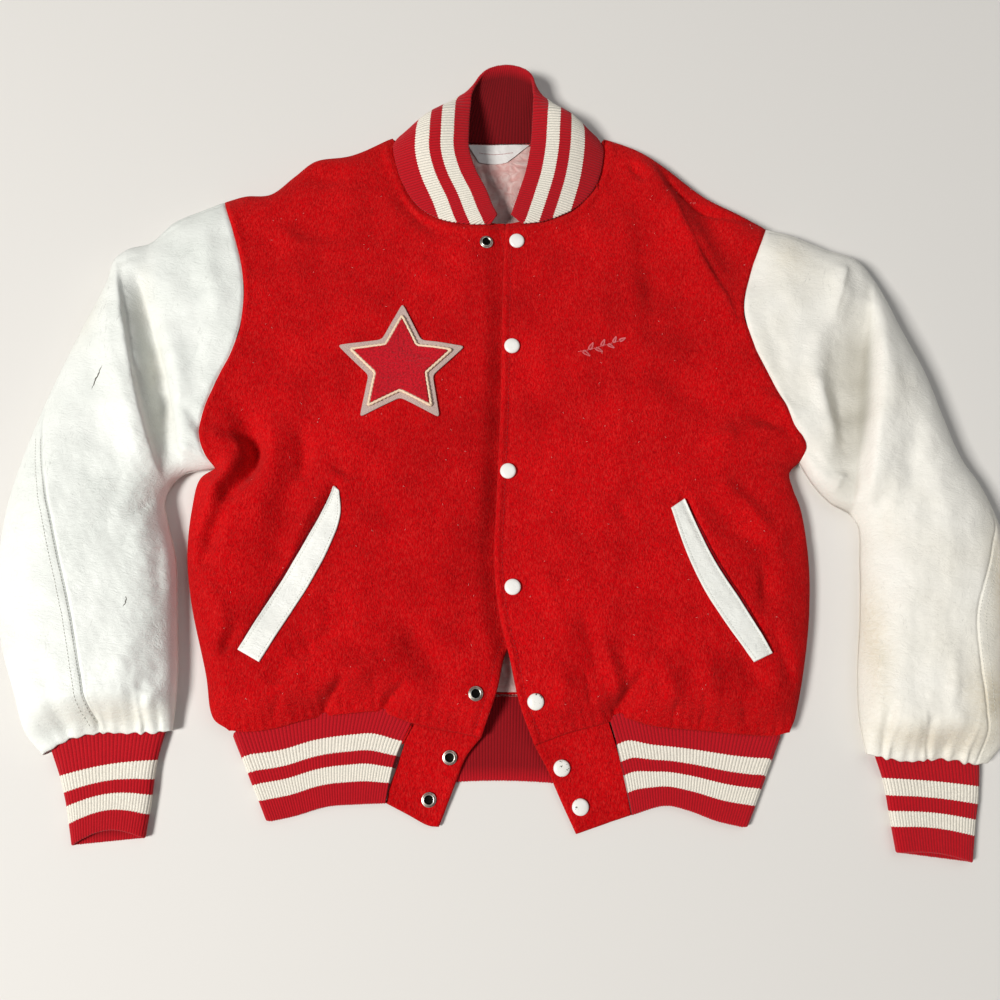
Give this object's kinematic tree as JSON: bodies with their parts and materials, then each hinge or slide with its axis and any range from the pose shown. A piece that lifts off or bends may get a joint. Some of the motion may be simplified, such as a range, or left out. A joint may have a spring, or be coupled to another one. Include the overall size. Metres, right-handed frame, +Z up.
{
  "type": "varsity jacket",
  "caption": "Red wool varsity jacket with off-white leather sleeves and striped rib trim, laid flat on its back with the sleeves bent down at its sides.",
  "frame": {"origin": "on the floor, under the middle of the laid jacket's bounding box", "axes": "+X towards the wearer's left sleeve, +Y from the hem to the collar, +Z up from the floor"},
  "size_m": [0.9315, 0.7785, 0.0452],
  "materials": {
    "red_wool": "bright red wool melton, napped and matte",
    "white_leather": "off-white smooth cowhide, aged and finely creased",
    "red_rib": "crimson rib knit with two cream stripes, matte",
    "pink_satin": "faded pink satin, soft sheen",
    "white_satin": "white woven satin, soft sheen",
    "grey_felt": "grey-pink wool felt, matte",
    "red_chenille": "crimson chenille pile with a cream cord, matte",
    "white_enamel": "white enamel, gloss, a little chipped",
    "nickel": "dulled nickel plate"
  },
  "bodies": {
    "root": {"back_panel": "red_wool", "front_right": "red_wool", "front_left": "red_wool", "sleeve_top_right": "white_leather", "sleeve_under_right": "white_leather", "sleeve_top_left": "white_leather", "sleeve_under_left": "white_leather", "cuff_right": "red_rib", "cuff_left": "red_rib", "tab_right": "red_wool", "tab_left": "red_wool", "pocket_welt_right": "white_leather", "pocket_welt_left": "white_leather", "waistband": "red_rib", "collar": "red_rib", "lining_neck": "pink_satin", "lining_hem": "pink_satin", "neck_label": "white_satin", "patch_felt": "grey_felt", "patch_chenille": "red_chenille", "snap_cap_1": "white_enamel", "snap_cap_2": "white_enamel", "snap_cap_3": "white_enamel", "snap_cap_4": "white_enamel", "snap_cap_5": "white_enamel", "snap_cap_6": "white_enamel", "snap_cap_7": "white_enamel", "snap_socket_1": "nickel", "snap_socket_2": "nickel", "snap_socket_3": "nickel", "snap_socket_4": "nickel"}
  },
  "joints": []
}
